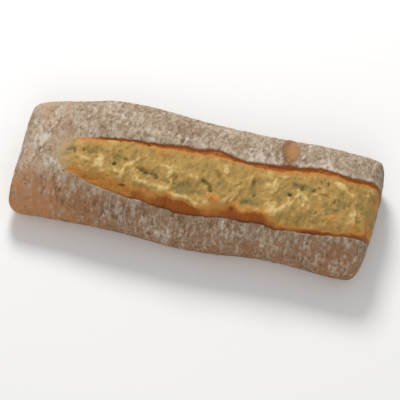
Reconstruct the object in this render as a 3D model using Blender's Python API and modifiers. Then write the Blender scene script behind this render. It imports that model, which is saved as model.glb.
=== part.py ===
"""A ciabatta loaf: one long, low loaf of bread, baked as a single piece.

The loaf lies on its flat base with its length along X. Its crust has burst open along the top,
from a soft tip near the -X end to the +X end, where the split runs out over the end.
Lengths are in metres. -Y is the near side and +Y the far side.
"""

import math

import bmesh
import bpy
from mathutils import Vector, noise

# Driving dimensions
LENGTH = 0.300
WIDTH = 0.118
HEIGHT = 0.056

# Outline and section. The *_SIDE_IN lists give how far a side stands in from the full width at x.
SIDE_SHOULDER = 0.66  # height of the shoulders along the sides, as a share of the crown's
END_SHOULDER = 0.80  # height of the shoulders along the ends, as a share of the crown's
SHOULDER_INSET = 0.0050  # how far the shoulders stand in from the widest part of the sides
BASE_INSET = 0.0110  # how far the base stands in from it
SIDE_LAYERS = (  # between base and shoulders: share of the shoulders' height, and the inset there
    (0.30, 0.0015),
    (0.66, 0.0000),
)
BASE_TRIM = 0.0045  # how much of the cage's underside the flat base cuts off
SIDE_FALL = 2.6  # how flat the top stays before it falls to the sides
END_FALL = 12.0  # how flat it stays before it falls to the ends
FALL_BLEND = 3.0  # how sharply the two falls meet over the corners
NEAR_SIDE_IN = (
    (-0.150, -0.0030),
    (-0.060, -0.0008),
    (0.000, -0.0060),
    (0.075, 0.0016),
    (0.135, -0.0045),
)
FAR_SIDE_IN = ((-0.150, 0.0105), (-0.075, -0.0072), (0.020, 0.0012), (0.150, -0.0005))
SINK_START = -0.060  # where the top starts to sink towards the -X end
SINK = 0.12  # share of the height lost at the -X end
SMALL_END_SLANT = 0.0030  # how much further the -X end reaches on its far side than on its near
LARGE_END_SLANT = 0.0040  # the same for the +X end
CORNER_REACH = 6  # how closely a corner's rounding keeps to the corner
CORNER_IN = {  # how far each corner is rounded back, seen from above, by its end and its side
    (-1, -1): -0.0010,
    (-1, 1): 0.0080,
    (1, -1): 0.0030,
    (1, 1): 0.0055,
}

# The split's two edges: x and y where each line bends
SPLIT_NEAR = (
    (-0.106, -0.029),
    (-0.060, -0.039),
    (0.000, -0.043),
    (0.050, -0.039),
    (0.100, -0.040),
    (0.150, -0.030),
)
SPLIT_FAR = (
    (-0.106, 0.004),
    (-0.060, 0.011),
    (0.000, 0.012),
    (0.050, 0.010),
    (0.100, 0.016),
    (0.150, 0.010),
)
SPLIT_FADE = 0.016  # length over which the split rises from its tip
SPLIT_RUNS_DOWN = 0.35  # share of the split's relief that carries on down the +X end

# Rows of the cage from the near side to the far side: the line each row follows, how far it
# stands from that line towards +Y, and how far the open split lifts it off the crown
ROWS = (
    ("near side", 0.0000, 0.0000),
    ("near edge", -0.0050, 0.0006),
    ("near edge", 0.0000, -0.0034),
    ("near edge", 0.0070, 0.0030),
    ("middle", 0.0000, 0.0004),
    ("far edge", -0.0060, 0.0000),
    ("far edge", -0.0005, -0.0046),
    ("far edge", 0.0035, 0.0036),
    ("far strip", 0.0000, 0.0000),
    ("far side", 0.0000, 0.0000),
)
STATIONS = 13  # cage cells along the loaf
CROWDING = 0.80  # above 0, the cells shorten towards the ends
LAYERS = len(SIDE_LAYERS) + 1  # cage cells from the base to the top
LEVELS = 2
CUTTER_DEPTH = 0.018
CUTTER_MARGIN = 0.030  # how far the cutter reaches beyond the loaf all round

# Unevenness that the dough keeps from its shaping and its rise
DOUGH_WAVE = 0.0010
DOUGH_PITCH = 0.050
CRUMB_WAVE = 0.0016
CRUMB_PITCH = 0.018

CRUST_COLOUR = (0.40, 0.27, 0.17, 1.0)
CRUST_ROUGHNESS = 0.85


def clear_scene():
    for thing in list(bpy.data.objects):
        bpy.data.objects.remove(thing, do_unlink=True)


def collection_named(name):
    group = bpy.data.collections.new(name)
    bpy.context.scene.collection.children.link(group)
    return group


def ease(t):
    t = min(max(t, 0.0), 1.0)
    return t * t * (3.0 - 2.0 * t)


def line_at(points, x):
    """The y of a bent line at x, rounded off between its points and level beyond them."""
    for (x0, y0), (x1, y1) in zip(points, points[1:]):
        if x < x1:
            return y0 + (y1 - y0) * ease((x - x0) / (x1 - x0))
    return points[-1][1]


def sink_at(x):
    """0 over most of the loaf, rising to 1 at its -X end."""
    return ease((SINK_START - x) / (SINK_START + LENGTH / 2))


def split_open_at(x):
    """How open the split is: 0 short of its tip, 1 along the rest."""
    return ease((x - SPLIT_NEAR[0][0]) / SPLIT_FADE)


def corner_inset(x, y):
    """How far the outline is rounded back at x and y, which grows towards the corners."""
    corner = (-1 if x < 0.0 else 1, -1 if y < 0.0 else 1)
    share = min(abs(4.0 * x * y / (LENGTH * WIDTH)), 1.0)
    return CORNER_IN[corner] * share**CORNER_REACH


def station_x(station):
    turn = CROWDING * math.pi / 2
    return LENGTH / 2 * math.sin(turn * (2.0 * station / STATIONS - 1.0)) / math.sin(turn)


def row_y(line, offset, x):
    near = -WIDTH / 2 + line_at(NEAR_SIDE_IN, x) + corner_inset(x, -WIDTH / 2)
    far = WIDTH / 2 - line_at(FAR_SIDE_IN, x) - corner_inset(x, WIDTH / 2)
    near_edge = line_at(SPLIT_NEAR, x)
    far_edge = line_at(SPLIT_FAR, x)
    lines = {
        "near side": near,
        "near edge": near_edge,
        "middle": (near_edge + far_edge) / 2,
        "far edge": far_edge,
        "far strip": (far_edge + 2.0 * far) / 3,
        "far side": far,
    }
    return lines[line] + offset


def crown_z(x, y):
    """Height of the unbroken top: flat-topped, falling away to the shoulders all round."""
    to_side = (1.0 - SIDE_SHOULDER) * min(abs(2.0 * y / WIDTH), 1.0) ** SIDE_FALL
    to_end = (1.0 - END_SHOULDER) * min(abs(2.0 * x / LENGTH), 1.0) ** END_FALL
    fall = (to_side**FALL_BLEND + to_end**FALL_BLEND) ** (1.0 / FALL_BLEND)
    return HEIGHT * (1.0 - SINK * sink_at(x)) * (1.0 - fall)


def wave(place, pitch, depth):
    return depth * noise.noise(place / pitch)


def box_cage():
    """A unit cube cut into STATIONS by rows by LAYERS cells."""
    cage = bmesh.new()
    bmesh.ops.create_cube(cage, size=1.0)
    for axis, cells in enumerate((STATIONS, len(ROWS) - 1, LAYERS)):
        edges = []
        for edge in cage.edges:
            a, b = (vert.co[axis] for vert in edge.verts)
            if round(abs(a - b)) == 1:
                edges.append(edge)
        bmesh.ops.subdivide_edges(cage, edges=edges, cuts=cells - 1, use_grid_fill=True)
    return cage


def end_share(station):
    """-1 at the -X end, +1 at the +X end and 0 between them."""
    if station == 0:
        return -1.0
    return 1.0 if station == STATIONS else 0.0


def side_share(row):
    """-1 on the near side, +1 on the far side and 0 between them."""
    if row == 0:
        return -1.0
    return 1.0 if row == len(ROWS) - 1 else 0.0


def place_of(station, row, layer):
    """Where one corner of the cage goes."""
    x = station_x(station)
    line, offset, lift = ROWS[row]
    y = row_y(line, offset, x)
    end, side = end_share(station), side_share(row)
    x -= end * corner_inset(x, y)
    x -= SMALL_END_SLANT * sink_at(x) * y / WIDTH
    x += LARGE_END_SLANT * ease(2.0 * x / LENGTH) * y / WIDTH
    if layer == LAYERS:
        lift *= split_open_at(x)
        if line in ("middle", "far edge") and lift:
            lift += split_open_at(x) * wave(Vector((x, y, 0.0)), CRUMB_PITCH, CRUMB_WAVE)
        z = crown_z(x, y) + lift
        inset = SHOULDER_INSET
    elif layer == 0:
        z = -BASE_TRIM
        inset = BASE_INSET
    else:
        share, inset = SIDE_LAYERS[layer - 1]
        z = share * crown_z(x, y)
        x += SPLIT_RUNS_DOWN * share * lift * max(end, 0.0)
    place = Vector((x - end * inset, y - side * inset, z))
    bulge = wave(place, DOUGH_PITCH, DOUGH_WAVE)
    return place + bulge * Vector((end, side, 1.0 if layer == LAYERS else 0.0))


def shape_cage(cage):
    for vert in cage.verts:
        station = round((vert.co.x + 0.5) * STATIONS)
        row = round((vert.co.y + 0.5) * (len(ROWS) - 1))
        layer = round((vert.co.z + 0.5) * LAYERS)
        vert.co = place_of(station, row, layer)


def add_subdivision(thing):
    rounding = thing.modifiers.new("rounding", "SUBSURF")
    rounding.levels = LEVELS
    rounding.render_levels = LEVELS


def fit_to_size(thing):
    """Stretches the cage a little, so that the rounded loaf has the driving dimensions."""
    bpy.context.view_layer.update()
    rounded = thing.evaluated_get(bpy.context.evaluated_depsgraph_get())
    places = [vert.co for vert in rounded.data.vertices]
    low = Vector([min(place[axis] for place in places) for axis in range(3)])
    high = Vector([max(place[axis] for place in places) for axis in range(3)])
    size = Vector((LENGTH, WIDTH, HEIGHT + BASE_TRIM))
    for vert in thing.data.vertices:
        for axis in range(3):
            share = (vert.co[axis] - low[axis]) / (high[axis] - low[axis])
            vert.co[axis] = size[axis] * share
        vert.co -= Vector((LENGTH / 2, WIDTH / 2, BASE_TRIM))


def add_flat_base(thing, cutters):
    """Cuts the underside off level, where the loaf lay on the oven's floor."""
    bpy.ops.mesh.primitive_cube_add(size=1.0, location=(0.0, 0.0, -CUTTER_DEPTH / 2))
    cutter = bpy.context.object
    cutter.name = "oven_floor"
    cutter.dimensions = (LENGTH + 2 * CUTTER_MARGIN, WIDTH + 2 * CUTTER_MARGIN, CUTTER_DEPTH)
    cutter.hide_render = True
    cutter.display_type = "WIRE"
    for group in list(cutter.users_collection):
        group.objects.unlink(cutter)
    cutters.objects.link(cutter)
    cut = thing.modifiers.new("flat base", "BOOLEAN")
    cut.operation = "DIFFERENCE"
    cut.solver = "EXACT"
    cut.object = cutter


def crust_material():
    crust = bpy.data.materials.new("crust")
    crust.use_nodes = True
    shader = crust.node_tree.nodes["Principled BSDF"]
    shader.inputs["Base Color"].default_value = CRUST_COLOUR
    shader.inputs["Roughness"].default_value = CRUST_ROUGHNESS
    shader.inputs["Metallic"].default_value = 0.0
    return crust


def make_loaf(group, cutters):
    cage = box_cage()
    shape_cage(cage)
    mesh = bpy.data.meshes.new("loaf")
    cage.to_mesh(mesh)
    cage.free()
    mesh.materials.append(crust_material())
    mesh.shade_smooth()
    loaf = bpy.data.objects.new("loaf", mesh)
    group.objects.link(loaf)
    add_subdivision(loaf)
    fit_to_size(loaf)
    add_flat_base(loaf, cutters)


clear_scene()
make_loaf(collection_named("ciabatta_loaf"), collection_named("cutters"))
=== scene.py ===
"""The looks of the ciabatta loaf: its floury crust, the split along its top and its torn crumb.

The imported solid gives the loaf's shape. Here it gets a fine skin, which is worked like clay: lips
along the split, a lumpy crumb between them, pits, creases, blisters and wrinkles. What the skin is
at each point (crumb, toasted bank, flour, bald blister) is kept as attributes, which its material
reads. Lengths are in metres, except that the features are laid out in millimetres. -Y is the near
side and +Y the far side.
"""

import math

import bmesh
import bpy
import numpy as np
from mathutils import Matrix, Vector, noise


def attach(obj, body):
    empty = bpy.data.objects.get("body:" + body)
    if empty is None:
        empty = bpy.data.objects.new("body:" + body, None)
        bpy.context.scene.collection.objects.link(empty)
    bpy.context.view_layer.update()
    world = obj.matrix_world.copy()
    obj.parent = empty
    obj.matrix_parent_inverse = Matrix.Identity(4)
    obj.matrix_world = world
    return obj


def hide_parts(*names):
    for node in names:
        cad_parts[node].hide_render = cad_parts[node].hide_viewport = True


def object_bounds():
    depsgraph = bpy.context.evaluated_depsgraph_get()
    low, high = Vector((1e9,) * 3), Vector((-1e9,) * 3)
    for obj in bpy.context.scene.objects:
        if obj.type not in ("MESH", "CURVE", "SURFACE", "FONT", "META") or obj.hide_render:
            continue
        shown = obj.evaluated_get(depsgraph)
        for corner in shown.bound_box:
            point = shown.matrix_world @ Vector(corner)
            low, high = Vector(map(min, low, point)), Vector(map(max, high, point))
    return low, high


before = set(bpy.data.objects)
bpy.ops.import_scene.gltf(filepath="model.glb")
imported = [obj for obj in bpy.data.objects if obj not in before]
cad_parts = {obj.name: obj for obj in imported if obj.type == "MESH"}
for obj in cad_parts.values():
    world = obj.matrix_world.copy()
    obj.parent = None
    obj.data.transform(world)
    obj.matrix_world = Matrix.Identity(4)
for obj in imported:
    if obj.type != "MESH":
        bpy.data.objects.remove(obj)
cad_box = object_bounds()

MM = 0.001

# ---------------------------------------------------------------- the skin's fineness
SKIN_VOXEL = 1.36 * MM
SKIN_SMOOTHING = 32  # rounds of smoothing
SMOOTHING_FACTOR = 0.5
WELD_DISTANCE = 0.001 * MM
SPLIT_MARGIN = 4.5  # how far outside the split the finer skin reaches, in mm
LEAST_UPWARD = -0.2  # faces whose normals point further down than this are never made finer

# ---------------------------------------------------------------- the split, in millimetres
# Where each edge of the split bends, from its tip to the +X end
NEAR_EDGE = (
    (-110, -27.0),
    (-100, -29.5),
    (-90, -33.0),
    (-78, -36.5),
    (-65, -38.5),
    (-50, -41.0),
    (-38, -41.0),
    (-28, -43.0),
    (0, -44.5),
    (14, -43.2),
    (34, -40.6),
    (46, -41.5),
    (60, -39.5),
    (72, -41.5),
    (88, -40.5),
    (104, -40.0),
    (118, -38.4),
    (132, -36.4),
    (141, -34.6),
    (150, -31.0),
)
FAR_EDGE = (
    (-110, 0.0),
    (-98, 1.5),
    (-85, 4.5),
    (-70, 7.5),
    (-50, 9.0),
    (-30, 10.0),
    (-14, 12.0),
    (0, 11.5),
    (8, 14.0),
    (18, 14.0),
    (27, 11.0),
    (40, 9.6),
    (52, 10.5),
    (69, 12.5),
    (84, 14.5),
    (100, 17.0),
    (108, 16.5),
    (120, 14.5),
    (130, 14.5),
    (140, 16.0),
    (150, 20.0),
)
TIP_X = -110.0
END_Z = 22.0  # the height down to which the split reaches on the +X end
TIP_ROUND = 9.0  # how gently the tip and the foot of the split are rounded
SIDE_ROUND = 2.0  # the same where its two edges meet
END_FACE = (140.0, 146.0)  # along x, where the top turns over into the +X end
OFF_END, OFF_END_FADE = 20.0, (145.0, 135.0)  # the foot counts for nothing away from the +X end
FOOT_NARROWING, NARROWING_FADE = 6.0, (42.0, 18.0)  # how the split narrows down the +X end
FOOT_HEIGHTS = (24.0, 38.0)  # up the +X end, where the creases and the toast reach full strength
NEARNESS_REACH = 16.0  # how softly the near edge's part of the split passes into the far edge's
NEAR_TIP_FADE = (-114.0, -90.0)  # where the near edge grows from nothing to crisp
FAR_TIP_FADE = (-100.0, -74.0)  # the same for the far edge
BEND_REACH, BEND_SAMPLES = 3.0, 5  # how far along x, in mm, the bends of these lines are softened

# Along x: how wide the toasted bank inside each edge is, how high the near bank stands, and how
# dark the painted shade line along each edge is
NEAR_BAND = (
    (-108, 4.0),
    (-90, 9.0),
    (-78, 11.0),
    (-60, 10.0),
    (-38, 10.0),
    (-16, 12.5),
    (0, 12.5),
    (10, 8.0),
    (24, 10.5),
    (45, 12.0),
    (64, 10.5),
    (76, 6.0),
    (90, 4.0),
    (104, 5.0),
    (118, 4.0),
    (150, 5.0),
)
NEAR_RISE = (
    (-108, 0.5),
    (-90, 1.6),
    (-60, 2.4),
    (-20, 3.4),
    (4, 3.2),
    (14, 2.0),
    (30, 2.6),
    (50, 3.4),
    (70, 2.8),
    (82, 1.6),
    (110, 1.8),
    (150, 1.2),
)
NEAR_EDGE_SHADE = (
    (-104, 0.0),
    (-92, 0.25),
    (-80, 0.8),
    (-70, 0.6),
    (-60, 0.7),
    (-48, 1.0),
    (-36, 0.6),
    (-26, 0.8),
    (0, 0.9),
    (14, 0.5),
    (26, 0.4),
    (40, 0.9),
    (56, 0.8),
    (68, 1.0),
    (84, 0.7),
    (100, 1.0),
    (150, 1.0),
)
NEAR_BURN = (  # how strongly the near bank is toasted
    (-104, 0.15),
    (-90, 0.30),
    (-78, 0.42),
    (-60, 0.50),
    (-42, 0.72),
    (-24, 0.78),
    (-15, 1.40),
    (2, 1.40),
    (10, 0.85),
    (22, 0.68),
    (36, 0.95),
    (58, 0.95),
    (72, 0.70),
    (84, 0.62),
    (100, 1.05),
    (116, 0.95),
    (126, 0.70),
    (150, 0.90),
)
FAR_BAND = (
    (-100, 6.0),
    (-85, 4.5),
    (-60, 4.0),
    (-44, 4.5),
    (-28, 6.5),
    (-8, 7.0),
    (0, 5.0),
    (8, 9.0),
    (20, 9.0),
    (29, 4.5),
    (42, 4.0),
    (52, 7.5),
    (72, 7.5),
    (84, 5.5),
    (104, 5.5),
    (116, 4.5),
    (150, 5.0),
)
FAR_EDGE_SHADE = (
    (-92, 0.0),
    (-84, 0.4),
    (-72, 0.9),
    (-56, 0.6),
    (-44, 0.8),
    (-24, 0.6),
    (-8, 0.5),
    (4, 0.5),
    (24, 0.4),
    (45, 0.5),
    (58, 0.6),
    (84, 0.4),
    (100, 0.7),
    (112, 0.6),
    (124, 0.4),
    (138, 0.6),
    (150, 0.9),
)

# ---------------------------------------------------------------- features of the torn crumb
# Ovals seen from above: x, y, half length, half width, turn in degrees, and size
PITS = (
    (-100, -11.5, 1.8, 3.4, 10, 1.6),
    (-104, -15, 1.2, 3.2, -10, 1.0),
    (-92.5, -9.5, 1.8, 2.4, 0, 1.5),
    (-85, -10, 5.0, 2.6, 15, 1.0),
    (-64, -18, 2.6, 2.6, 0, 1.4),
    (-57, -12, 4.6, 1.7, -20, 1.7),
    (-67, -29, 2.4, 1.8, 0, 1.2),
    (-55, -33.5, 5.0, 1.5, 0, 2.2),
    (-28.5, -22.5, 3.8, 2.9, 0, 2.6),
    (-25, -35, 2.2, 1.5, 0, 1.2),
    (-65.5, 5.0, 1.8, 1.8, 0, 1.5),
    (-42.5, 7.0, 2.0, 1.7, 0, 1.5),
    (36, -33, 2.2, 1.8, 0, 1.0),
    (52, -22, 1.6, 2.6, 0, 1.1),
    (51, -28.5, 2.6, 1.3, 0, 0.5),
    (56, 6, 1.0, 3.0, 10, 1.3),
    (79, -13.5, 2.2, 2.2, 0, 2.4),
    (76, -15.5, 4.4, 3.0, 0, 0.8),
    (88, -14.5, 1.6, 3.2, 0, 1.1),
    (82, -3.5, 3.4, 2.0, 0, 1.1),
    (88.5, -5.0, 1.7, 2.6, 0, 1.4),
    (97.5, -6.0, 2.6, 2.2, 0, 1.7),
    (101.5, -3.0, 2.0, 1.5, 0, 1.3),
    (102, 4.0, 1.2, 4.2, 14, 1.6),
    (107.5, 4.5, 1.2, 4.4, -6, 1.7),
    (102.5, -24, 1.9, 3.4, 0, 2.0),
    (116, -11, 1.6, 3.2, 0, 1.4),
    (128, -12, 2.4, 1.8, 0, 0.9),
    (116, -19, 4.0, 2.0, 0, 1.0),
    (124, -13, 1.4, 4.0, 0, 0.9),
)
HOLLOWS = (
    (-29, -3, 12, 6, 0, 1.1),
    (-6, -26.5, 15, 8, 0, 1.4),
    (5, -29, 7, 4, 0, 0.8),
    (-86, -9, 12, 5, 5, 0.8),
    (87, -4, 12, 5, -8, 1.4),
    (118, -9, 7, 7, 0, 0.9),
    (44, -28, 12, 4, 0, 0.7),
    (-63, -11, 4, 9, -12, 1.1),
    (-38, -20, 12, 4, 0, 0.9),
    (20, -9, 4, 7, 0, 0.8),
)
LUMPS = (
    (20, -29.5, 8, 6, 0, 1.7),
    (-24, -32, 12, 5, 0, 1.0),
    (-70, -30, 8, 5, 0, 1.0),
    (-44, -27, 9, 5, 10, 0.9),
    (0, -15, 12, 7, 0, 1.5),
    (-17, -14, 4, 8, -10, 1.1),
    (26, -4, 6, 6, 0, 1.0),
    (36, -15, 10, 8, 0, 1.0),
    (66, -8, 9, 10, 0, 1.3),
    (60, -22, 12, 5, 0, 0.9),
    (92, -24, 10, 7, 0, 1.1),
    (86, -14, 7, 5, 0, 0.8),
    (118, 3, 9, 6, -30, 1.2),
    (132, -3, 10, 6, -20, 1.2),
    (110, -14, 7, 7, 0, 0.8),
    (133, -18, 6, 8, 0, 1.0),
    (112, -28, 14, 7, 0, 1.2),
    (92, 8, 10, 5, 8, 0.9),
    (-80, -3, 7, 5, 0, 0.8),
    (-76, -18, 6, 8, 0, 0.9),
    (-90, -17, 9, 4, -5, 0.8),
    (-50, 1, 9, 6, 0, 0.8),
)
# Ridges and creases: half width, size, and the points they run through
RIDGES = (
    (1.0, 2.0, ((-16, -32.5), (-8, -32.5), (1, -32.5), (8, -37))),
    (1.4, 1.6, ((40, -33), (50, -33.5), (58, -32), (66, -32), (71, -30.5), (75, -26.5))),
    (1.4, 1.3, ((-45, -9), (-50, -13), (-54, -18))),
    (1.1, 1.0, ((-83, -12), (-86, -19))),
    (1.1, 0.9, ((-78, -12), (-79, -22))),
    (1.2, 1.0, ((-44, -28), (-30, -30), (-20, -30))),
    (1.1, 1.0, ((-16, -24), (-18, -31))),
    (1.2, 1.1, ((11, -23), (15, -29))),
    (1.1, 0.9, ((110, -12), (116, -8))),
    (1.1, 0.9, ((85, -7), (86, -14))),
    (1.1, 0.9, ((93, -6), (92, -13), (95, -16))),
    (1.5, 1.0, ((113, 6), (121, 3), (129, -3))),
    (1.1, 0.8, ((98, -10), (106, -6), (112, -7))),
    (1.2, 0.7, ((-98, -2), (-88, -1), (-78, 3), (-62, 5))),
    (1.1, 0.7, ((-73, -27), (-66, -23), (-60, -24))),
    (1.1, 0.7, ((-35, -13), (-28, -11), (-20, -13))),
    (1.1, 0.8, ((16, -4), (22, -7), (28, -6))),
    (1.2, 0.8, ((60, 2), (72, 1), (84, 5))),
    (1.2, 0.7, ((124, -22), (134, -26), (142, -27))),
)
CREASES = (
    (1.1, 1.9, ((9, -16), (12, -19), (15, -22), (17, -25))),
    (1.1, 1.2, ((-48, -18), (-40, -19), (-30, -20))),
    (1.0, 1.0, ((50, -8), (51, -15), (51.5, -21))),
    (1.0, 0.8, ((18, -6), (20, -10), (21, -13))),
    (1.3, 0.25, ((38, -27), (48, -27.5), (60, -27))),
    (1.0, 0.8, ((101, -8.5), (108, -7.5), (113, -6.5))),
    (1.0, 1.1, ((-106, -17), (-104, -11), (-100, -9))),
    (1.1, 1.1, ((-68, -7), (-66, -12), (-64, -18))),
    (1.0, 0.9, ((-22, -24.5), (-14, -25), (-13, -19))),
    (1.0, 0.8, ((-88, -31), (-80, -32), (-70, -30))),
    (1.0, 0.7, ((-18, -35), (-18, -43))),
    (1.0, 0.6, ((24, -36), (31, -31), (37, -33))),
    (1.1, 0.7, ((126, 7), (134, 5), (143, 6))),
    (1.0, 0.7, ((112, -24), (120, -20), (124, -15))),
    (1.1, 0.9, ((142, -18), (144, -26), (145, -33))),
)
# Where the crumb is browner, and where it is paler (+) or more olive (-) than the rest: partly its
# own colour, partly painted highlight on lumps and painted shade in hollows
BROWNED = (
    (20, -29.5, 10, 6, 0, 0.70),
    (-27, -1, 13, 8, 0, 0.30),
    (-10, 4, 16, 5, 0, 0.22),
    (-80, -3, 7, 5, 0, 0.30),
    (-94, 2, 12, 5, 10, 0.40),
    (-70, -28, 10, 6, 0, 0.20),
    (90, 9, 13, 6, 8, 0.45),
    (70, 7, 14, 5, 0, 0.20),
    (103, -18, 7, 6, 0, 0.30),
    (116, -25, 10, 8, 0, 0.45),
    (136, -28, 13, 7, 0, 0.35),
    (144, -24, 4, 13, 0, 0.75),
    (126, 3, 14, 6, -20, 0.22),
    (-98, -26, 7, 5, 0, 0.40),
    (50, 0, 12, 8, 0, 0.15),
    (147, 2, 5, 12, 0, 0.50),
    (51, -15, 3, 8, 0, 0.25),
)
TONES_AND_SHADING = (
    (-90, -17, 13, 5, -5, 0.55),
    (-77, -18, 5, 8, 0, 0.50),
    (-18, -15, 5, 8, 0, 0.60),
    (0, -15, 11, 8, 0, 0.25),
    (26, -4, 6, 5, 0, 0.40),
    (66, -10, 9, 11, 0, 0.45),
    (68, -26, 13, 6, 0, 0.55),
    (88, -17, 12, 8, 0, 0.40),
    (133, -18, 6, 8, 0, 0.65),
    (-38, -28, 13, 4, 0, 0.45),
    (6, -31, 8, 4, 0, 0.45),
    (-52, -14, 5, 7, -30, 0.40),
    (116, -4, 9, 6, 0, 0.35),
    (56, -31, 16, 3, 0, 0.45),
    (-6, -27, 14, 7, 0, -0.45),
    (87, -4, 12, 5, 0, -0.50),
    (50, -26, 14, 4, 0, -0.45),
    (-60, -12, 10, 7, 0, -0.35),
    (118, -10, 7, 6, 0, -0.50),
    (0, -4, 14, 6, 0, -0.35),
    (20, -20, 10, 8, 0, -0.25),
    (-84, -9, 9, 4, 0, -0.45),
    (92, -35, 16, 4, 0, -0.15),
)
# The bald blister on the far side, its lighter middle (a painted highlight set towards +X, with
# painted shade round it), and the yellower crust at the split's tip.
# These have no size: x, y, half length, half width and turn
BLISTER = (71, 29.0, 10.5, 27.0, 8)
BLISTER_HIGHLIGHT = (73.5, 29.5, 9.0, 23.0, 8)
GOLD_PATCH = (-104, -13, 17, 23, 0)
# Where the crust is more floury, and where it is barer and browner
FLOUR_DABS = (
    (-127, -3, 5, 9, -20, 1.6),
    (-116, -24, 8, 5, 30, 1.4),
    (-96, -46, 3, 5, 0, 0.5),
    (-39, 19, 14, 6, 0, 0.45),
    (-18, -55, 14, 12, 0, 0.45),
    (100, 22, 12, 5, 0, 0.40),
    (33, -48, 9, 6, 0, 0.35),
    (70, -49, 26, 10, 0, 0.20),
)
BROWN_DABS = (
    (-132, 26, 10, 16, 0, 0.35),
    (-130, -30, 12, 12, 0, 0.25),
    (58, -54, 12, 8, 0, 0.35),
    (-6, 28, 10, 8, 0, 0.25),
    (-18, 32, 40, 20, 0, 0.40),
    (-88, -48, 30, 12, 0, 0.45),
    (-108, 8, 12, 8, 0, 0.35),
    (-112, -14, 7, 14, 0, 0.30),
    (-14, -52, 7, 5, 0, 0.25),
    (12, -52, 8, 5, 0, 0.25),
)

# ---------------------------------------------------------------- noises of the skin
# Layers: height in mm or size as a share, pitch in mm (one, or one for each axis) and seed
NEAR_RAGGED = ((0.9, 8.0, 3.1), (0.5, 3.2, 7.7))
FAR_RAGGED = ((0.7, 7.0, 5.3), (0.5, 3.0, 1.9))
TIP_RAGGED = ((1.5, 7.0, 9.4),)
FOOT_RAGGED = ((1.5, 5.0, 2.7),)
TORN_ALONG = ((1.4, 13.0, 0.7), (0.8, 4.0, 1.1))
TORN_ACROSS = ((1.1, 12.0, 6.2), (0.8, 4.0, 7.9))
CRUMB_GRAIN = ((0.4, 2.6, 1.2),)
CRUST_WAVES = (
    (0.55, 26.0, 2.2),
    (0.28, 10.0, 3.3),
    (0.30, (3.8, 12.0, 11.0), 5.5),
    (0.26, 3.6, 6.1),
)
BAND_WANDER = ((0.30, 9.0, 3.8),)
BAKE_UNEVEN = ((0.25, 18.0, 5.9),)
FLOUR_PATCHES = ((0.125, (20.0, 14.0, 14.0), 7.3), (0.075, 7.0, 4.9))
# Height in mm, pitch, seed and the level that is taken off, or the sharpness, or the reach in cells
CRUMB_LUMPS = ((2.2, (12.0, 15.0, 14.0), 2.3, 0.35), (1.2, (4.6, 6.5, 6.0), 8.1, 0.3))
FOLDS = (0.9, (5.0, 15.0, 14.0), 4.4, 2.6)
STRANDS = (0.6, (3.2, 13.0, 10.0), 9.4, 2.8)
BUBBLES = (0.5, 12.0, 1.7, 0.42)
BEADS = (0.7, (3.4, 3.0, 3.0), 3.9, 0.55)
STRAND_TURN = np.array(((0.8, 0.6, 0.0), (-0.6, 0.8, 0.0), (0.0, 0.0, 1.0)))  # strands run aslant
# The patches in which these show: share, contrast, pitch in mm and seed
FOLD_PATCHES = (0.5, 1.0, 24.0, 6.6)
STRAND_PATCHES = (0.4, 1.0, 17.0, 3.6)
BUBBLE_PATCHES = (-0.2, 3.0, 30.0, 8.8)

# ---------------------------------------------------------------- heights of the skin, in mm
NEAR_LIP, NEAR_LIP_REACH = 0.4, 3.0
FAR_LIP, FAR_LIP_REACH = 0.7, 4.5
NEAR_DROP, FAR_DROP = 0.9, 0.7  # how far the skin steps down from the lips
DROP_SPAN = (-0.6, 0.6)  # where it does, as distances inside the split
NEAR_BANK_FULL = 0.9  # the share of its width at which the near bank reaches its full height
NEAR_BANK_FALL, NEAR_BANK_FALL_REACH = 0.45, 9.0  # the share of it lost again further in
FAR_BANK, FAR_BANK_REACH = 1.3, 7.0
RIDGE_HEIGHT, FEATURE_HEIGHT = 0.75, 1.4  # factors on the crumb's features
PATH_SOFTNESS = 1.4  # how softly ridges and creases fall off, in half widths
BLISTER_HEIGHT, BLISTER_FULLNESS = 0.8, 2.0
CRUMB_SPAN = (0.3, 2.5)  # distances inside the split between which the crumb's relief comes in
CALM_EDGE, CALM_REACH = 0.35, 8.0  # how much of its roughness the crumb has at the split's edges
OVERHANG, OVERHANG_MIDDLE, OVERHANG_WIDTH = 0.2, -1.4, 1.6  # how the far lip leans over the crumb
BASE_FADE = (1.0, 6.0)  # heights between which the crust's relief comes in
BASE_FLAT = 0.3  # points lower than this lie on the floor
# Stretches of the far lip with beads, from where they start and are full to where they fade and
# end, and the strip outside the split that the beads lie in
BEADED = ((14.0, 22.0, 134.0, 146.0), (-54.0, -46.0, -34.0, -26.0))
BEADS_OUTER, BEADS_INNER = (-4.5, -2.7), (0.0, -0.8)
# Where the split may show: by how far up the normals point, and by height on the +X end
TOP_FACING, END_OPENING = (-0.1, 0.4), (8.0, 16.0)

# ---------------------------------------------------------------- toast, flour, bake, and painted highlight and shade
LEAST_OPENED, NOT_SPLIT = 0.02, -20.0  # where the split can't show, its distance reads as this
SOFT_LINE = 0.30  # how much of its sharpness the split's edge keeps where it isn't crisp
FAR_LINE, FOOT_LINE = 0.10, 0.25  # shares of the painted shade line at the far edge, and at the foot
FEATURE_SHARE = 0.5  # how much the features count in the relief that paints highlight and shade on the crumb
# Painted shade in the crumb's creases, and a painted highlight on its ridges
CREASE_SHADE, RIDGE_HIGHLIGHT = 0.7, 0.35
CRUMB_TIP_FADE = (-112.0, -96.0)  # along x, where the crumb's colour comes in
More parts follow.
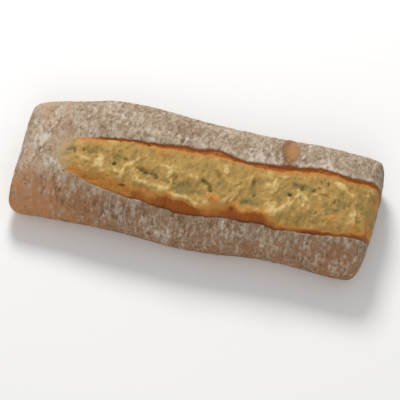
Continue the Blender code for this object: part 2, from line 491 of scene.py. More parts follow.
# Where each toasted band fades out, in widths of the band, and how strong the glow beyond it is
# and how far in it reaches, in mm
NEAR_BAND_FADE, FAR_BAND_FADE = (0.4333, 1.1), (0.2917, 1.125)
NEAR_GLOW, NEAR_GLOW_REACH = 0.22, 20.0
FAR_GLOW, FAR_GLOW_REACH = 0.30, 15.0
FAR_BURN, FAR_BURN_BY_EDGE_SHADE = 0.88, 0.40
FOOT_TOAST, MOST_TOAST = 0.5, 1.2
FLOUR_LEAST, FLOUR_ON_TOP, FLOUR_FACING = 0.345, 0.18, (-0.2, 0.7)
FLOUR_IN_DABS, FLOUR_ON_BEADS = 0.6, 0.35
BAKE_LEAST = 0.12
# Zones: size, and where it fades in along each axis
FLOURED_ZONES = (
    (-0.18, {"y": (-30.0, -44.0)}),
    (-0.06, {"x": (-100.0, -124.0)}),
    (-0.10, {"x": (-100.0, -124.0), "y": (-26.0, -46.0)}),
)
BAKED_ZONES = (
    (0.30, {"z": (27.0, 3.0)}),
    (0.45, {"y": (-34.0, -50.0)}),
    (0.75, {"x": (-96.0, -126.0), "y": (-20.0, -42.0)}),
    (0.30, {"x": (90.0, 140.0), "y": (-36.0, -50.0)}),
    (0.12, {"x": (-98.0, -122.0)}),
)
# The -X end: a rosier tint, made brighter by painted light
BLUSH_AND_LIGHT_ZONES = ((1.0, {"x": (-96.0, -126.0)}),)
EMBER_ZONES = ((1.0, {"x": (-52.0, -116.0), "y": (-24.0, -48.0)}),)

# ---------------------------------------------------------------- curves
def ease(share):
    """A smooth S from 0 to 1. Shares below 0 count as 0, and those above 1 as 1."""
    share = np.clip(share, 0.0, 1.0)
    return share * share * (3.0 - 2.0 * share)


def ramp(value, start, end):
    """0 up to the start and 1 past the end, which may lie on either side of the start."""
    return ease((value - start) / (end - start))


def soft_min(a, b, reach):
    """The lesser of a and b, rounded off where they are within reach of each other."""
    share = np.clip(0.5 + 0.5 * (b - a) / reach, 0.0, 1.0)
    return b * (1.0 - share) + a * share - reach * share * (1.0 - share)


def hump(value, middle, reach):
    """A bell curve: 1 at the middle, and 0.37 one reach away from it."""
    return np.exp(-(((value - middle) / reach) ** 2))


def line_at(points, x):
    """The value of a bent line at each x, with soft bends."""
    xs, ys = zip(*points)
    steps = np.linspace(-BEND_REACH, BEND_REACH, BEND_SAMPLES)
    return sum(np.interp(x + step, xs, ys) for step in steps) / len(steps)


# ---------------------------------------------------------------- noises and marks on the skin
def in_cells(places, pitch, seed):
    """The places in units of the pitch, which is in mm: one for all axes, or one for each."""
    return places / np.broadcast_to(np.asarray(pitch, float), (3,)) + seed


def noise_at(places, pitch, seed):
    """Smooth noise between about -1 and 1."""
    return np.array([noise.noise(Vector(place)) for place in in_cells(places, pitch, seed)])


def cells_at(places, pitch, seed):
    """How far each place is from its nearest and second nearest cell centre, in cells."""
    found = [noise.voronoi(Vector(place))[0] for place in in_cells(places, pitch, seed)]
    return np.array([near[0] for near in found]), np.array([near[1] for near in found])


def layered_noise(places, layers):
    total = np.zeros(len(places))
    for size, pitch, seed in layers:
        total += size * noise_at(places, pitch, seed)
    return total


def lumpy_noise(places, layers):
    """Lumps parted by creases, which are below zero where two cells meet."""
    total = np.zeros(len(places))
    for size, pitch, seed, level in layers:
        nearest, second = cells_at(places, pitch, seed)
        total += size * (second - nearest - level)
    return total


def folds_at(places, size, pitch, seed, sharpness):
    """Ridges that run where a noise is zero."""
    return size * (1.0 - np.abs(noise_at(places, pitch, seed)) * sharpness)


def patches_at(places, share, contrast, pitch, seed):
    """1 inside patches and 0 between them. A greater share gives larger patches."""
    return ease(share + contrast * noise_at(places, pitch, seed))


def domes_at(places, size, pitch, seed, reach):
    """A round dome in each cell. The reach is in cells."""
    nearest, _ = cells_at(places, pitch, seed)
    return size * ease(1.0 - nearest / reach)


def spot(places, x, y, long, wide, turn):
    """1 at the middle of an oval seen from above, falling smoothly to 0 at its rim."""
    angle = math.radians(turn)
    dx, dy = places[:, 0] - x, places[:, 1] - y
    along = (dx * math.cos(angle) + dy * math.sin(angle)) / long
    across = (dy * math.cos(angle) - dx * math.sin(angle)) / wide
    return ease(1.0 - np.sqrt(along**2 + across**2))


def sum_of_spots(places, spots):
    total = np.zeros(len(places))
    for x, y, long, wide, turn, size in spots:
        total += size * spot(places, x, y, long, wide, turn)
    return total


def distance_to_path(places, points):
    """How far each place is, seen from above, from the path through the points."""
    best = np.full(len(places), np.inf)
    for (x0, y0), (x1, y1) in zip(points, points[1:]):
        along = np.array((x1 - x0, y1 - y0), float)
        offset = places[:, :2] - (x0, y0)
        share = np.clip(offset @ along / (along @ along), 0.0, 1.0)
        best = np.minimum(best, np.linalg.norm(offset - share[:, None] * along, axis=1))
    return best


def sum_of_paths(places, paths):
    total = np.zeros(len(places))
    for half_width, size, points in paths:
        total += size * hump(distance_to_path(places, points), 0.0, PATH_SOFTNESS * half_width)
    return total


def sum_of_zones(places, zones):
    """What the zones add at each place. A zone fades in along each axis that it names."""
    total = np.zeros(len(places))
    for size, fades in zones:
        share = np.full(len(places), size)
        for axis, fade in fades.items():
            share *= ramp(places[:, "xyz".index(axis)], *fade)
        total += share
    return total


# ---------------------------------------------------------------- the split and the skin's shape
class Split:
    """Where each place lies about the split. Distances are in mm, and positive inside it."""

    def __init__(self, places):
        x, y, z = places.T
        flat = places * (1.0, 1.0, 0.0)
        from_near = y - line_at(NEAR_EDGE, x) + layered_noise(flat, NEAR_RAGGED)
        from_far = line_at(FAR_EDGE, x) - y + layered_noise(flat, FAR_RAGGED)
        from_tip = (x - TIP_X) + layered_noise(flat, TIP_RAGGED)
        from_foot = z - END_Z + layered_noise(flat, FOOT_RAGGED) + OFF_END * ramp(x, *OFF_END_FADE)
        ends = soft_min(from_tip, from_foot, TIP_ROUND)
        narrowing = FOOT_NARROWING * ramp(z, *NARROWING_FADE) * ramp(x, *END_FACE)
        sides = soft_min(from_near, from_far, SIDE_ROUND) - narrowing
        self.inside = soft_min(sides, ends, TIP_ROUND)
        self.nearness = ease(0.5 + (from_far - from_near) / NEARNESS_REACH)
        near, far = ramp(x, *NEAR_TIP_FADE), ramp(x, *FAR_TIP_FADE)
        self.crispness = near * self.nearness + far * (1.0 - self.nearness)


def weld(mesh, distance):
    work = bmesh.new()
    work.from_mesh(mesh)
    bmesh.ops.remove_doubles(work, verts=work.verts, dist=distance)
    work.to_mesh(mesh)
    work.free()


def applied(thing):
    """The thing's mesh as its modifiers leave it."""
    bpy.context.view_layer.update()
    shown = thing.evaluated_get(bpy.context.evaluated_depsgraph_get())
    return bpy.data.meshes.new_from_object(shown)


def places_of(mesh):
    """The mesh's points, in mm."""
    flat = np.empty(3 * len(mesh.vertices))
    mesh.vertices.foreach_get("co", flat)
    return flat.reshape(-1, 3) / MM


def normals_of(mesh):
    flat = np.empty(3 * len(mesh.vertices))
    mesh.vertices.foreach_get("normal", flat)
    return flat.reshape(-1, 3)


def move_to(mesh, places):
    mesh.vertices.foreach_set("co", (places * MM).ravel())
    mesh.update()


def refine_split(mesh):
    """Halves the edges of the faces in and beside the split, but of none that face down."""
    work = bmesh.new()
    work.from_mesh(mesh)
    centres = np.array([face.calc_center_median() for face in work.faces]) / MM
    upward = np.array([face.normal.z for face in work.faces])
    wanted = (Split(centres).inside > -SPLIT_MARGIN) & (upward > LEAST_UPWARD)
    edges = {edge for face, want in zip(work.faces, wanted) if want for edge in face.edges}
    ordered = sorted(edges, key=lambda edge: edge.index)
    bmesh.ops.subdivide_edges(work, edges=ordered, cuts=1, use_grid_fill=True)
    work.to_mesh(mesh)
    work.free()


def fine_skin(solid):
    """An even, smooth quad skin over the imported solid, finer in and beside the split."""
    skin = bpy.data.objects.new("crust", solid.data.copy())
    bpy.context.scene.collection.objects.link(skin)
    weld(skin.data, WELD_DISTANCE)
    even = skin.modifiers.new("even", "REMESH")
    even.mode = "VOXEL"
    even.voxel_size = SKIN_VOXEL
    soften = skin.modifiers.new("soften", "SMOOTH")
    soften.factor = SMOOTHING_FACTOR
    soften.iterations = SKIN_SMOOTHING
    mesh = applied(skin)
    skin.modifiers.clear()
    skin.data = mesh
    refine_split(mesh)
    mesh.shade_smooth()
    return skin


def split_profile(places, split):
    """Height of the skin about the split, in mm: lips, then the drop to banks and crumb."""
    near, far = split.nearness, 1.0 - split.nearness
    out, deep = np.maximum(-split.inside, 0.0), np.maximum(split.inside, 0.0)
    near_lip = NEAR_LIP * hump(out, 0.0, NEAR_LIP_REACH)
    far_lip = FAR_LIP * hump(out, 0.0, FAR_LIP_REACH)
    width, rise = (line_at(points, places[:, 0]) for points in (NEAR_BAND, NEAR_RISE))
    near_bank = rise * ease(deep / (NEAR_BANK_FULL * width))
    near_bank -= NEAR_BANK_FALL * rise * ease((deep - width) / NEAR_BANK_FALL_REACH)
    far_bank = FAR_BANK * ease(deep / FAR_BANK_REACH)
    level = near * (near_bank - NEAR_DROP) + far * (far_bank - FAR_DROP)
    step = ramp(split.inside, *DROP_SPAN)
    return ((near * near_lip + far * far_lip) * (1.0 - step) + level * step) * split.crispness


def torn(places):
    """The places, nudged about unevenly, so that what is laid out on them has torn edges."""
    nudge_x, nudge_y = layered_noise(places, TORN_ALONG), layered_noise(places, TORN_ACROSS)
    return places + np.stack((nudge_x, nudge_y, 0.0 * nudge_x), axis=1)


def crumb_relief(places):
    """Height of the torn crumb above its level, in mm."""
    relief = lumpy_noise(places, CRUMB_LUMPS)
    relief += folds_at(places, *FOLDS) * patches_at(places, *FOLD_PATCHES)
    relief += folds_at(places @ STRAND_TURN, *STRANDS) * patches_at(places, *STRAND_PATCHES)
    return relief + layered_noise(places, CRUMB_GRAIN)


def crumb_features(places):
    """Height of what is laid out on the crumb one by one, in mm."""
    relief = sum_of_spots(places, LUMPS) - sum_of_spots(places, HOLLOWS)
    relief += RIDGE_HEIGHT * sum_of_paths(places, RIDGES) - sum_of_paths(places, CREASES)
    return FEATURE_HEIGHT * relief - sum_of_spots(places, PITS)


def crust_relief(places, split):
    """Height of the crust's undulations, wrinkles, bubbles, beads and blister, in mm."""
    relief = layered_noise(places, CRUST_WAVES)
    relief += domes_at(places, *BUBBLES) * patches_at(places, *BUBBLE_PATCHES)
    relief += domes_at(places, *BEADS) * beading(places, split)
    return relief + BLISTER_HEIGHT * blister_at(places)


def blister_at(places):
    """0 away from the bald blister, and 1 over most of it."""
    return ease(BLISTER_FULLNESS * spot(torn(places), *BLISTER))


def beading(places, split):
    """Where beads of floury crust line the far lip."""
    x, inside = places[:, 0], split.inside
    along = [ramp(x, start, full) * ramp(x, end, last) for start, full, last, end in BEADED]
    strip = ramp(inside, *BEADS_OUTER) * ramp(inside, *BEADS_INNER)
    return np.max(along, axis=0) * strip * (1.0 - split.nearness)


class Surface:
    """The skin's points before they are worked, and what the shape and the looks both need."""

    def __init__(self, mesh):
        self.places = places_of(mesh)
        self.normals = normals_of(mesh)
        self.split = Split(self.places)
        self.dough = torn(self.places)
        self.rough = crumb_relief(self.dough)
        self.features = crumb_features(self.dough)
        x, _, z = self.places.T
        on_top = ramp(self.normals[:, 2], *TOP_FACING)
        self.opened = np.maximum(on_top, ramp(x, *END_FACE) * ramp(z, *END_OPENING))


def work_skin(mesh, surface):
    """Moves the skin's points to their worked shape."""
    places, split, opened = surface.places, surface.split, surface.opened
    in_crumb = ramp(split.inside, *CRUMB_SPAN) * opened
    calm = CALM_EDGE + (1.0 - CALM_EDGE) * ease(split.inside / CALM_REACH)
    above_base = ramp(places[:, 2], *BASE_FADE)
    height = split_profile(places, split) * opened
    height += (surface.rough * calm + surface.features) * in_crumb
    height += crust_relief(places, split) * (1.0 - in_crumb) * above_base
    worked = places + surface.normals * height[:, None]
    far_lip = hump(split.inside, OVERHANG_MIDDLE, OVERHANG_WIDTH) * (1.0 - split.nearness)
    worked[:, 1] -= OVERHANG * far_lip * opened * split.crispness
    worked[:, 2] = np.maximum(worked[:, 2], 0.0)
    worked[places[:, 2] < BASE_FLAT, 2] = 0.0
    move_to(mesh, worked)


# ---------------------------------------------------------------- what the material reads
def edge_shade_at(places, split):
    """How dark the painted shade line at the split's edges is. It fades towards the foot on the +X
    end.
    """
    x, _, z = places.T
    near = split.nearness * line_at(NEAR_EDGE_SHADE, x)
    far = (1.0 - split.nearness) * line_at(FAR_EDGE_SHADE, x)
    return (near + FAR_LINE * far) * (FOOT_LINE + (1.0 - FOOT_LINE) * ramp(z, *FOOT_HEIGHTS))


def toast_at(places, split):
    """How toasted the crumb is: in a band inside each edge, a glow beyond it, and BROWNED."""
    x, _, z = places.T
    near, far = split.nearness, 1.0 - split.nearness
    wander = 1.0 + layered_noise(places, BAND_WANDER)
    near_depth = split.inside / (line_at(NEAR_BAND, x) * wander)
    far_depth = split.inside / (line_at(FAR_BAND, x) * wander)
    near_band = (1.0 - ramp(near_depth, *NEAR_BAND_FADE)) * line_at(NEAR_BURN, x)
    far_burn = FAR_BURN + FAR_BURN_BY_EDGE_SHADE * line_at(FAR_EDGE_SHADE, x)
    far_band = (1.0 - ramp(far_depth, *FAR_BAND_FADE)) * far_burn
    band = (near * near_band + far * far_band) * split.crispness
    band *= FOOT_TOAST + (1.0 - FOOT_TOAST) * ramp(z, *FOOT_HEIGHTS)
    glow = NEAR_GLOW * near * (1.0 - ease(split.inside / NEAR_GLOW_REACH))
    glow += FAR_GLOW * far * (1.0 - ease(split.inside / FAR_GLOW_REACH))
    return np.clip(band + glow + sum_of_spots(places, BROWNED), 0.0, MOST_TOAST)


def flour_at(places, normals, split):
    """How floury the crust is: most on the top, in patches, dabs and beads."""
    even = FLOUR_LEAST + FLOUR_ON_TOP * ramp(normals[:, 2], *FLOUR_FACING)
    even += sum_of_zones(places, FLOURED_ZONES)
    dabs = sum_of_spots(places, FLOUR_DABS) - sum_of_spots(places, BROWN_DABS)
    dabs += FLOUR_ON_BEADS * beading(places, split)
    patches = layered_noise(places, FLOUR_PATCHES)
    return np.clip(even + patches + FLOUR_IN_DABS * dabs, 0.0, 1.0)


def bake_at(places):
    """How brown the crust is baked: low on the sides, on the near side and at the -X end."""
    baked = BAKE_LEAST + sum_of_zones(places, BAKED_ZONES) + layered_noise(places, BAKE_UNEVEN)
    return np.clip(baked, 0.0, 1.0)


def store_looks(mesh, surface):
    """Keeps what the material reads at each point as attributes of the mesh."""
    places, dough, split = surface.places, surface.dough, surface.split
    softened = split.inside * (SOFT_LINE + (1.0 - SOFT_LINE) * split.crispness)
    looks = {
        "split_mm": np.where(surface.opened > LEAST_OPENED, softened, NOT_SPLIT),
        # painted shade along the split's edges
        "edge_shade": edge_shade_at(places, split),
        "relief_mm": surface.rough + FEATURE_SHARE * surface.features,
        # painted shade in the crumb's pits and creases
        "pit_shade": sum_of_spots(dough, PITS) + CREASE_SHADE * sum_of_paths(dough, CREASES),
        # the crumb's own paler and olive patches, with painted highlight on lumps and ridges and
        # painted shade in hollows
        "tone_and_shading": sum_of_spots(dough, TONES_AND_SHADING) + RIDGE_HIGHLIGHT * sum_of_paths(dough, RIDGES),
        "toast": toast_at(dough, split),
        "flour": flour_at(places, surface.normals, split),
        "bald": blister_at(places),
        # painted highlight on the blister, set towards +X
        "bald_highlight": spot(places, *BLISTER_HIGHLIGHT),
        "bake": bake_at(places),
        "gold": spot(dough, *GOLD_PATCH),
        "fade": ramp(dough[:, 0], *CRUMB_TIP_FADE),
        "blush_and_light": sum_of_zones(places, BLUSH_AND_LIGHT_ZONES),
        "ember": sum_of_zones(places, EMBER_ZONES),
    }
    for name, values in looks.items():
        kept = mesh.attributes.new(name, "FLOAT", "POINT")
        kept.data.foreach_set("value", np.asarray(values, np.float32))


# ---------------------------------------------------------------- material
CRUST_TAN = (0.285, 0.190, 0.118, 1.0)
CRUST_BROWN = (0.290, 0.142, 0.066, 1.0)
CRUST_DEEP = (0.120, 0.064, 0.036, 1.0)
CRUST_GOLD = (0.480, 0.345, 0.170, 1.0)
# The -X end's rosy tint, brightened as painted light
CRUST_BLUSH_AND_LIGHT = (0.520, 0.340, 0.215, 1.0)
CRUST_EMBER = (0.460, 0.205, 0.078, 1.0)
FLOUR = (0.470, 0.388, 0.300, 1.0)
FLOUR_THICK = (0.680, 0.590, 0.495, 1.0)
BALD = (0.400, 0.195, 0.070, 1.0)
# Painted shade round the bald blister, most on its -X side
BALD_SHADE = (0.215, 0.105, 0.048, 1.0)
# Painted shade: the crumb's colour deep in its pits and creases
CRUMB_PIT_SHADE = (0.165, 0.105, 0.026, 1.0)
CRUMB_OLIVE = (0.262, 0.186, 0.060, 1.0)
CRUMB_GOLD = (0.440, 0.268, 0.076, 1.0)
CRUMB_PALE = (0.700, 0.515, 0.215, 1.0)
TOAST_LIGHT = (0.560, 0.235, 0.045, 1.0)
TOAST_DARK = (0.310, 0.074, 0.006, 1.0)
# Painted shade along the split's edges
EDGE_SHADE = (0.160, 0.050, 0.014, 1.0)

# The material's noises: pitch in mm, detail, roughness and, for stretched ones, scale by axis
FINE = (2.8, 5.0, 0.7, (1.0, 0.65, 0.65))
STREAKS = (4.2, 4.0, 0.65, (1.0, 0.25, 0.25))
PATCHES = (11.0, 4.0, 0.6)
DRIFTS = (24.0, 3.0, 0.5)
DARK_MOTTLE = (3.4, 4.0, 0.65, (1.0, 0.6, 0.6))
FLOUR_MOTTLE = (3.0, 4.0, 0.65, (1.0, 0.5, 0.5))
VEINS = (2.6, 4.0, 0.6, (1.0, 0.45, 0.5))
CLOUDS = (7.0, 3.0, 0.5)
EDGE_WOBBLE = (1.8, 3.0, 0.55)
FINE_GRAIN = (1.0, 3.0, 0.6)
COARSE_GRAIN = (3.0, 3.0, 0.55)

# How each colour comes in over the ones before it: the value at which it starts and the one at
# which it is full, then how strong it is at the start and when full
BROWN_IN = (0.0, 1.0, 0.0, 1.0)
BLUSH_AND_LIGHT_IN = (0.30, 0.62, 0.15, 0.85)
EMBER_IN = (0.80, 1.15, 0.35, 1.0)
FLOUR_IN = (0.10, 0.90, 0.0, 0.90)
DEEP_IN = (0.52, 0.68, 0.0, 0.70)
THICK_IN = (0.66, 0.86, 0.0, 0.80)
CRUST_GOLD_IN = (0.10, 0.80, 0.0, 0.75)
BALD_IN = (0.30, 0.85, 0.0, 0.92)
BALD_HIGHLIGHT_IN = (0.05, 0.80, 0.0, 1.0)
CRUMB_GOLD_IN = (-0.85, 0.05, 0.0, 1.0)
CRUMB_PALE_IN = (0.0, 1.0, 0.0, 1.0)
TOAST_IN = (0.05, 0.65, 0.0, 0.92)
TOAST_DARK_IN = (0.65, 1.15, 0.0, 0.90)
PIT_SHADE_IN = (0.20, 1.6, 0.0, 0.70)
CRUMB_IN = (-0.35, 0.45, 0.0, 1.0)  # by the distance inside the split, in mm
EDGE_SHADE_IN = (-0.7, 0.1, 0.0, 0.80)
EDGE_SHADE_OUT = (1.9, 0.5, 0.0, 1.0)

# The range over which each noise moves what it makes uneven
BROWN_BY_PATCHES, BROWN_BY_STREAKS = 1.3, 0.8
FILM_BY_FINE, FILM_BY_STREAKS = 2.6, 2.2
MOTTLE_BY_DRIFTS = 0.30
GOLD_BY_STREAKS = 1.2
HIGHLIGHT_BY_FINE, BALD_BY_FINE = 2.6, 2.4
TONE_BY_VEINS, TONE_BY_CLOUDS = 1.7, 1.4
TOAST_BY_VEINS, TOAST_BY_CLOUDS = 0.55, 0.5
EDGE_BY_WOBBLE = 1.2  # in mm

RELIEF_SHADING = 0.40  # painted highlight and shade: how much paler the crumb is for each mm that it stands up, and darker where it sinks
FLOUR_THICKENING = 0.30  # how much more thick flour there is where the crust is floury
CRUST_ROUGHNESS = 0.88
CRUMB_ROUGHNESS = (0.3, 1.0, 0.72, 0.50)  # from dull, untoasted crumb to glossier, toasted crumb
SPECULAR = 0.20
BUMP_STRENGTH, BUMP_HEIGHT = 0.55, 0.6 * MM
COARSE_SHARE = 1.2  # how much the coarse grain counts in the bump, beside the fine one

MIX_INPUTS = (0, 6, 7)  # a colour mix node's share and its two colours
MIX_OUTPUT = 2


class Nodes:
    """Short ways to add and join the nodes of one material."""

    def __init__(self, name):
        self.material = bpy.data.materials.new(name)
        self.material.use_nodes = True
        self.tree = self.material.node_tree
        self.shader = self.tree.nodes["Principled BSDF"]
        self.place = self.add("ShaderNodeTexCoord").outputs["Object"]

    def add(self, kind, **settings):
        node = self.tree.nodes.new(kind)
        for name, value in settings.items():
            setattr(node, name, value)
        return node

    def join(self, value, socket):
        """Links the value if it is another node's output, and sets it if it is a constant."""
        if isinstance(value, bpy.types.NodeSocket):
            self.tree.links.new(value, socket)
        else:
            socket.default_value = value

    def attribute(self, name):
        return self.add("ShaderNodeAttribute", attribute_name=name).outputs["Fac"]

    def math(self, operation, a, b):
        node = self.add("ShaderNodeMath", operation=operation)
        self.join(a, node.inputs[0])
        self.join(b, node.inputs[1])
        return node.outputs[0]

    def plus(self, a, b):
        return self.math("ADD", a, b)

    def times(self, a, b):
        return self.math("MULTIPLY", a, b)

    def uneven(self, value, *layers):
        """The value, made uneven. Each layer is a noise from 0 to 1, and the range it adds."""
        for layer, size in layers:
            value = self.plus(value, self.times(self.math("SUBTRACT", layer, 0.5), size))
        return value

    def span(self, value, low, high, to_low, to_high):
        """The value eased from to_low, where it is low, to to_high, where it is high."""
        node = self.add("ShaderNodeMapRange", interpolation_type="SMOOTHSTEP")
        self.join(value, node.inputs["Value"])
        limits = {"From Min": low, "From Max": high, "To Min": to_low, "To Max": to_high}
        for name, limit in limits.items():
            node.inputs[name].default_value = limit
        return node.outputs["Result"]

    def mix(self, share, a, b):
        """The colour a, giving way to the colour b as the share grows."""
        node = self.add("ShaderNodeMix", data_type="RGBA")
        for value, index in zip((share, a, b), MIX_INPUTS):
            self.join(value, node.inputs[index])
        return node.outputs[MIX_OUTPUT]

    def noise(self, pitch_mm, detail, roughness, stretch=(1.0, 1.0, 1.0)):
        mapping = self.add("ShaderNodeMapping")
        self.join(self.place, mapping.inputs["Vector"])
        mapping.inputs["Scale"].default_value = stretch
        node = self.add("ShaderNodeTexNoise")
        self.join(mapping.outputs["Vector"], node.inputs["Vector"])
        node.inputs["Scale"].default_value = 1.0 / (pitch_mm * MM)
        node.inputs["Detail"].default_value = detail
        node.inputs["Roughness"].default_value = roughness
        return node.outputs["Fac"]


def baked_colour(nodes, fine, streaks, patch):
    """The bare crust: tan to brown, rosy and brighter at the -X end (a warmer tint with painted
    light) and orange at its near corner.
    """
    browned = nodes.uneven(
        nodes.attribute("bake"), (patch, BROWN_BY_PATCHES), (streaks, BROWN_BY_STREAKS)
    )
    colour = nodes.mix(nodes.span(browned, *BROWN_IN), CRUST_TAN, CRUST_BROWN)
    # rosy tint at the -X end, partly painted light that makes that end brighter
    rosy_and_lit = nodes.times(nodes.attribute("blush_and_light"), nodes.span(patch, *BLUSH_AND_LIGHT_IN))
    colour = nodes.mix(rosy_and_lit, colour, CRUST_BLUSH_AND_LIGHT)
    ember = nodes.times(nodes.attribute("ember"), nodes.span(nodes.plus(patch, fine), *EMBER_IN))
    return nodes.mix(ember, colour, CRUST_EMBER)


def floured_colour(nodes, colour, fine, streaks):
    """The colour under a film of flour, dark where it is missing and pale where it is thick."""
    flour = nodes.attribute("flour")
    drifts = nodes.noise(*DRIFTS)
    film = nodes.uneven(flour, (fine, FILM_BY_FINE), (streaks, FILM_BY_STREAKS))
    colour = nodes.mix(nodes.span(film, *FLOUR_IN), colour, FLOUR)
    dark = nodes.uneven(nodes.noise(*DARK_MOTTLE), (drifts, MOTTLE_BY_DRIFTS))
    colour = nodes.mix(nodes.span(dark, *DEEP_IN), colour, CRUST_DEEP)
    thick = nodes.plus(nodes.noise(*FLOUR_MOTTLE), nodes.times(flour, FLOUR_THICKENING))
    thick = nodes.uneven(thick, (drifts, MOTTLE_BY_DRIFTS))
    return nodes.mix(nodes.span(thick, *THICK_IN), colour, FLOUR_THICK)


def crust_colour(nodes):
    fine, streaks, patch = (nodes.noise(*layer) for layer in (FINE, STREAKS, PATCHES))
    colour = floured_colour(nodes, baked_colour(nodes, fine, streaks, patch), fine, streaks)
    gold = nodes.uneven(nodes.attribute("gold"), (streaks, GOLD_BY_STREAKS))
    colour = nodes.mix(nodes.span(gold, *CRUST_GOLD_IN), colour, CRUST_GOLD)
    # a painted highlight on the blister, off its middle towards +X, and painted shade round it
    glow = nodes.uneven(nodes.attribute("bald_highlight"), (fine, HIGHLIGHT_BY_FINE))
    bare = nodes.mix(nodes.span(glow, *BALD_HIGHLIGHT_IN), BALD_SHADE, BALD)
    bald = nodes.uneven(nodes.attribute("bald"), (fine, BALD_BY_FINE))
    return nodes.mix(nodes.span(bald, *BALD_IN), colour, bare)


def crumb_colour(nodes):
    veins, clouds = nodes.noise(*VEINS), nodes.noise(*CLOUDS)
    # painted highlight where the crumb stands up and painted shade where it sinks, on top of its
    # own tone
    relief_shading = nodes.times(nodes.attribute("relief_mm"), RELIEF_SHADING)
    tone_and_shading = nodes.plus(nodes.attribute("tone_and_shading"), relief_shading)
    tone_and_shading = nodes.uneven(tone_and_shading, (veins, TONE_BY_VEINS), (clouds, TONE_BY_CLOUDS))
    colour = nodes.mix(nodes.span(tone_and_shading, *CRUMB_GOLD_IN), CRUMB_OLIVE, CRUMB_GOLD)
    colour = nodes.mix(nodes.span(tone_and_shading, *CRUMB_PALE_IN), colour, CRUMB_PALE)
    toast = nodes.attribute("toast")
    toast = nodes.uneven(toast, (veins, TOAST_BY_VEINS), (clouds, TOAST_BY_CLOUDS))
    colour = nodes.mix(nodes.span(toast, *TOAST_IN), colour, TOAST_LIGHT)
    colour = nodes.mix(nodes.span(toast, *TOAST_DARK_IN), colour, TOAST_DARK)
    # painted shade darkens the crumb in its pits and creases
    return nodes.mix(nodes.span(nodes.attribute("pit_shade"), *PIT_SHADE_IN), colour, CRUMB_PIT_SHADE)


def loaf_colour(nodes, inside, opened):
    """Crumb inside the split, crust outside it, and a painted shade line along its edges."""
    colour = nodes.mix(opened, crust_colour(nodes), crumb_colour(nodes))
    line = nodes.times(nodes.span(inside, *EDGE_SHADE_IN), nodes.span(inside, *EDGE_SHADE_OUT))
    return nodes.mix(nodes.times(line, nodes.attribute("edge_shade")), colour, EDGE_SHADE)


def loaf_roughness(nodes, opened):
    crumb = nodes.span(nodes.attribute("toast"), *CRUMB_ROUGHNESS)
    glossier = nodes.math("SUBTRACT", crumb, CRUST_ROUGHNESS)
    return nodes.plus(nodes.times(opened, glossier), CRUST_ROUGHNESS)


def loaf_bump(nodes):
    bump = nodes.add("ShaderNodeBump")
    bump.inputs["Strength"].default_value = BUMP_STRENGTH
    bump.inputs["Distance"].default_value = BUMP_HEIGHT
    coarse = nodes.times(nodes.noise(*COARSE_GRAIN), COARSE_SHARE)
    nodes.join(nodes.plus(nodes.noise(*FINE_GRAIN), coarse), bump.inputs["Height"])
    return bump.outputs["Normal"]


def loaf_material():
    nodes = Nodes("ciabatta_crust")
    inside = nodes.uneven(nodes.attribute("split_mm"), (nodes.noise(*EDGE_WOBBLE), EDGE_BY_WOBBLE))
    opened = nodes.times(nodes.span(inside, *CRUMB_IN), nodes.attribute("fade"))
    nodes.join(loaf_colour(nodes, inside, opened), nodes.shader.inputs["Base Color"])
    nodes.join(loaf_roughness(nodes, opened), nodes.shader.inputs["Roughness"])
    nodes.join(loaf_bump(nodes), nodes.shader.inputs["Normal"])
    nodes.shader.inputs["Specular IOR Level"].default_value = SPECULAR
    return nodes.material


# ---------------------------------------------------------------- stage, light and camera
CAMERA_AZIMUTH = 13.45  # in degrees, round from the near side towards +X
CAMERA_ELEVATION = 60.0  # in degrees, above the floor
CAMERA_DISTANCE = 1.5
CAMERA_LENS = 164.7  # in mm
AIM_RIGHT, AIM_DOWN = 0.0023, 0.0178  # where it aims, from the middle of the CAD box as seen

FLOOR_SIZE = 12.0
FLOOR_COLOUR = (0.92, 0.92, 0.92, 1.0)
FLOOR_ROUGHNESS = 0.9
SKY_COLOUR = (1.0, 1.0, 1.0, 1.0)
SKY_STRENGTH = 0.42
LIT_PLACE = (0.0, 0.0, 0.02)
# Each light's name, place, size, power and colour
LIGHTS = (
    ("window", (-0.35, 0.92, 0.98), 0.45, 13.5, (1.0, 0.99, 0.97)),
    ("fill", (0.3, -1.2, 0.9), 1.2, 6.0, (1.0, 0.99, 0.98)),
)


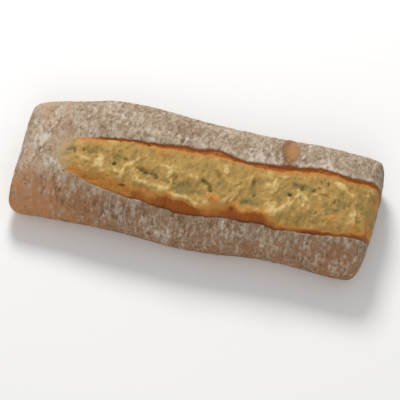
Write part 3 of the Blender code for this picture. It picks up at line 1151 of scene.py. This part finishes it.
def make_floor():
    bpy.ops.mesh.primitive_plane_add(size=FLOOR_SIZE)
    floor = bpy.context.object
    floor.name = "floor"
    material = bpy.data.materials.new("pale_floor")
    material.use_nodes = True
    shader = material.node_tree.nodes["Principled BSDF"]
    shader.inputs["Base Color"].default_value = FLOOR_COLOUR
    shader.inputs["Roughness"].default_value = FLOOR_ROUGHNESS
    floor.data.materials.append(material)


def add_area_light(name, place, size, power, colour):
    data = bpy.data.lights.new(name, "AREA")
    data.shape = "DISK"
    data.size = size
    data.energy = power
    data.color = colour
    light = bpy.data.objects.new(name, data)
    light.location = place
    light.rotation_euler = (Vector(LIT_PLACE) - Vector(place)).to_track_quat("-Z", "Y").to_euler()
    bpy.context.scene.collection.objects.link(light)


def make_light():
    world = bpy.data.worlds.new("studio")
    world.use_nodes = True
    world.node_tree.nodes["Background"].inputs["Color"].default_value = SKY_COLOUR
    world.node_tree.nodes["Background"].inputs["Strength"].default_value = SKY_STRENGTH
    bpy.context.scene.world = world
    for light in LIGHTS:
        add_area_light(*light)


def make_camera():
    azimuth, elevation = math.radians(CAMERA_AZIMUTH), math.radians(CAMERA_ELEVATION)
    low, high = cad_box
    back = Vector((
        math.sin(azimuth) * math.cos(elevation),
        -math.cos(azimuth) * math.cos(elevation),
        math.sin(elevation),
    ))
    right = Vector((math.cos(azimuth), math.sin(azimuth), 0.0))
    up = back.cross(right)
    aim = (low + high) / 2 + AIM_RIGHT * right - AIM_DOWN * up
    data = bpy.data.cameras.new("camera")
    data.lens = CAMERA_LENS
    camera = bpy.data.objects.new("camera", data)
    camera.location = aim + CAMERA_DISTANCE * back
    camera.rotation_euler = (-back).to_track_quat("-Z", "Y").to_euler()
    bpy.context.scene.collection.objects.link(camera)
    bpy.context.scene.camera = camera


bpy.context.scene.view_settings.view_transform = "Standard"
make_camera()
make_light()
make_floor()

loaf = fine_skin(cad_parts["loaf"])
surface = Surface(loaf.data)
work_skin(loaf.data, surface)
store_looks(loaf.data, surface)
loaf.data.materials.clear()
loaf.data.materials.append(loaf_material())
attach(loaf, "root")
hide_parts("loaf")
